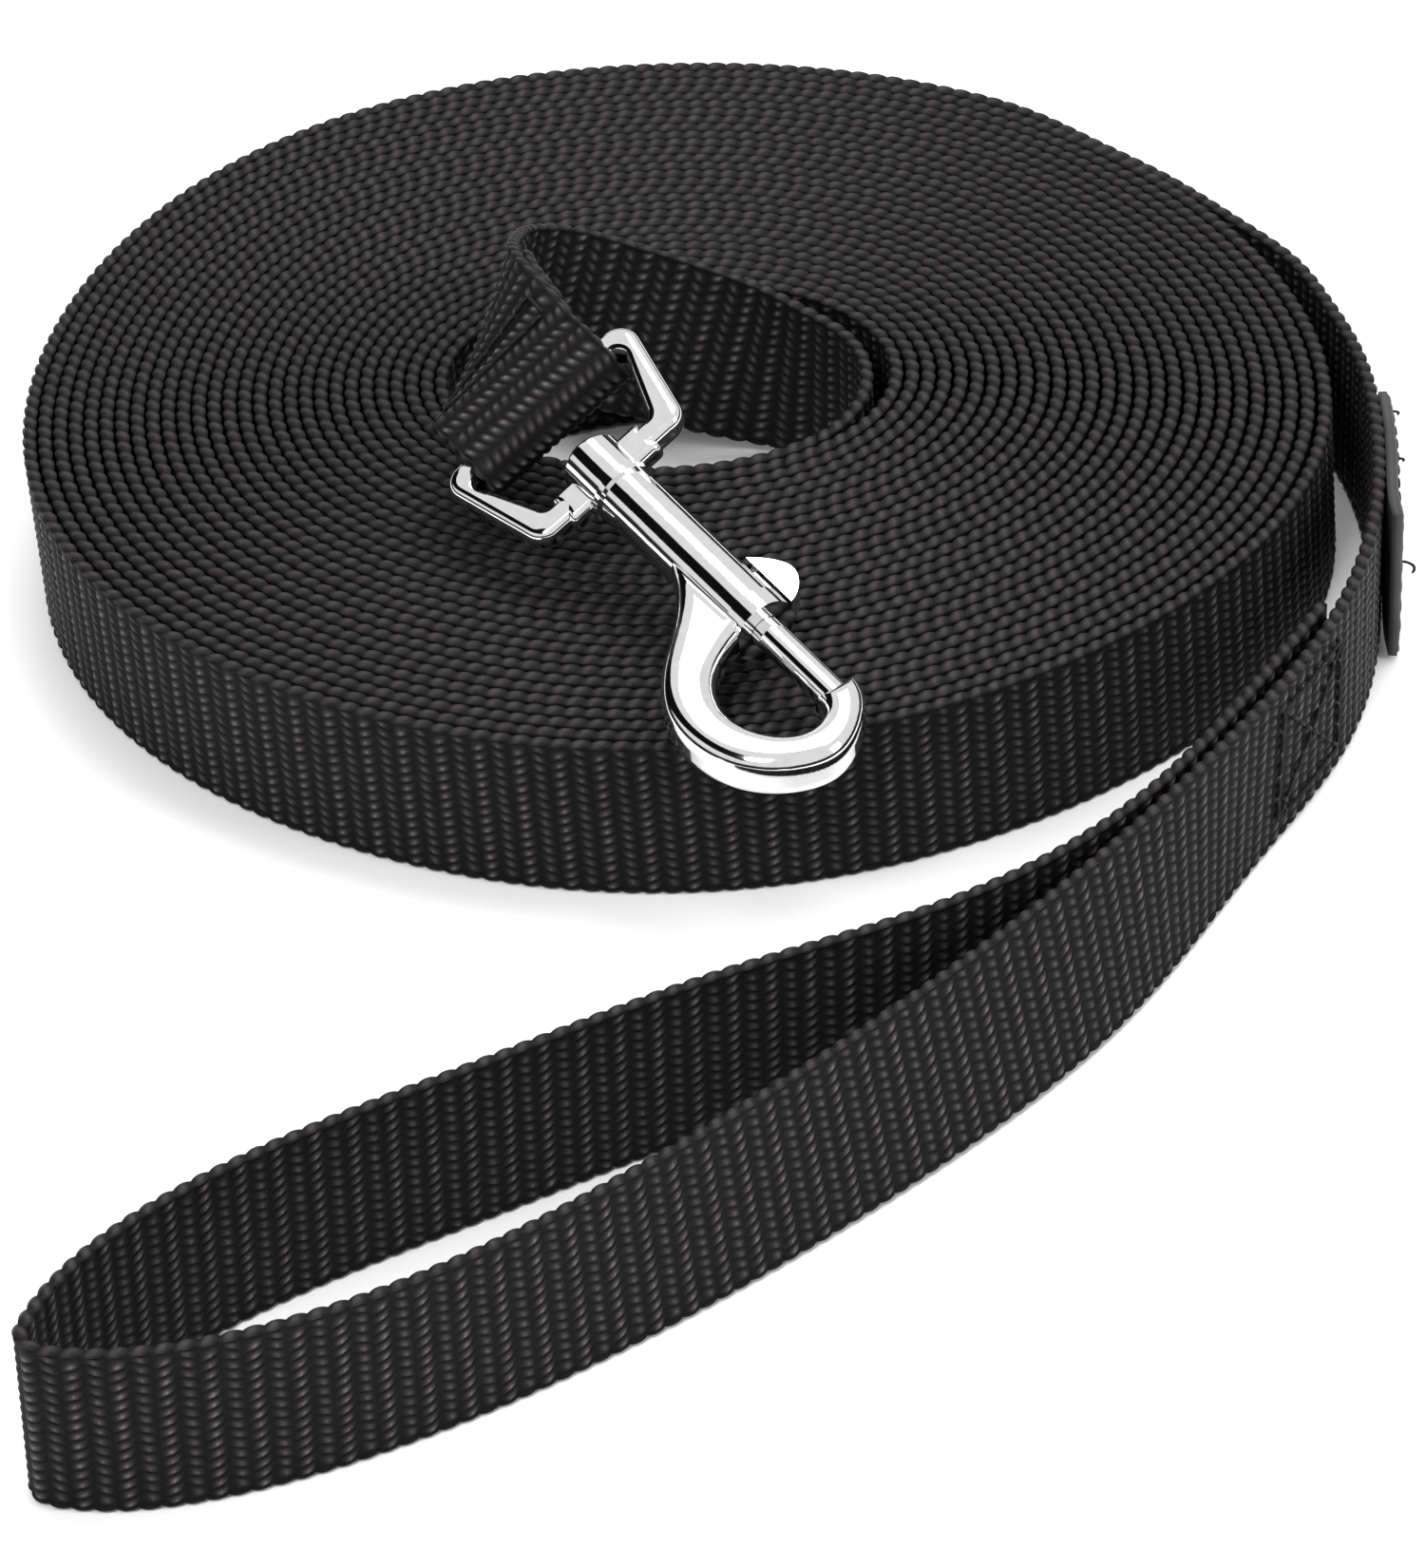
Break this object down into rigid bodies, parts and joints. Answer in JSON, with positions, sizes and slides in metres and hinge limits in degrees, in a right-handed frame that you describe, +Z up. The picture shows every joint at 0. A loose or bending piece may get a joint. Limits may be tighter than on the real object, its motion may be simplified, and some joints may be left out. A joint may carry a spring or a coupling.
{
  "type": "training leash",
  "caption": "Long flat-webbing training leash wound on edge into a flat coil, with a sewn hand loop and a swivel bolt snap.",
  "frame": {"origin": "centre of the footprint, on the surface the coil lies on", "axes": "+Z up, square to that surface; +Y from the tip of the hand loop towards the coil, along the object's length; +X to the right, the side that the lead runs down"},
  "size_m": [0.1526, 0.2368, 0.0427],
  "materials": {
    "webbing": "woven, soft sheen",
    "thread": "twisted thread",
    "label": "smooth matte",
    "chrome": "bright plated",
    "spring_steel": "drawn wire"
  },
  "bodies": {
    "webbing": {"webbing_coil": "webbing", "webbing_lead": "webbing", "handle_loop": "webbing", "snap_end_webbing": "webbing", "snap_end_loop": "webbing", "handle_stitching": "thread", "snap_end_stitching": "thread", "label_patch": "label", "label_stitching": "thread"},
    "eye": {"swivel_eye": "chrome"},
    "snap": {"snap_body": "chrome", "swivel_rivet": "chrome", "swivel_washer": "chrome", "spring_plug": "chrome"},
    "bolt": {"bolt_pin": "chrome", "thumb_knob": "chrome", "bolt_spring": "spring_steel"}
  },
  "joints": [
    {"name": "eye_tilt", "type": "hinge", "parent": "webbing", "child": "eye", "pos_m": [-0.01847, 0.02185, 0.03288], "axis": [-0.7599, -0.4356, -0.4825], "range_deg": [0, 100]},
    {"name": "swivel", "type": "hinge", "parent": "eye", "child": "snap", "pos_m": [-0.0114, 0.0116, 0.031], "axis": [-0.5615, 0.8139, 0.1495], "range_deg": [0, 180]},
    {"name": "bolt_slide", "type": "slide", "parent": "snap", "child": "bolt", "axis": [-0.5615, 0.8139, 0.1495], "range_m": [0, 0.0085], "stiffness_N_per_m": 300, "springref_m": -0.004, "deforming": ["bolt_spring"]}
  ]
}
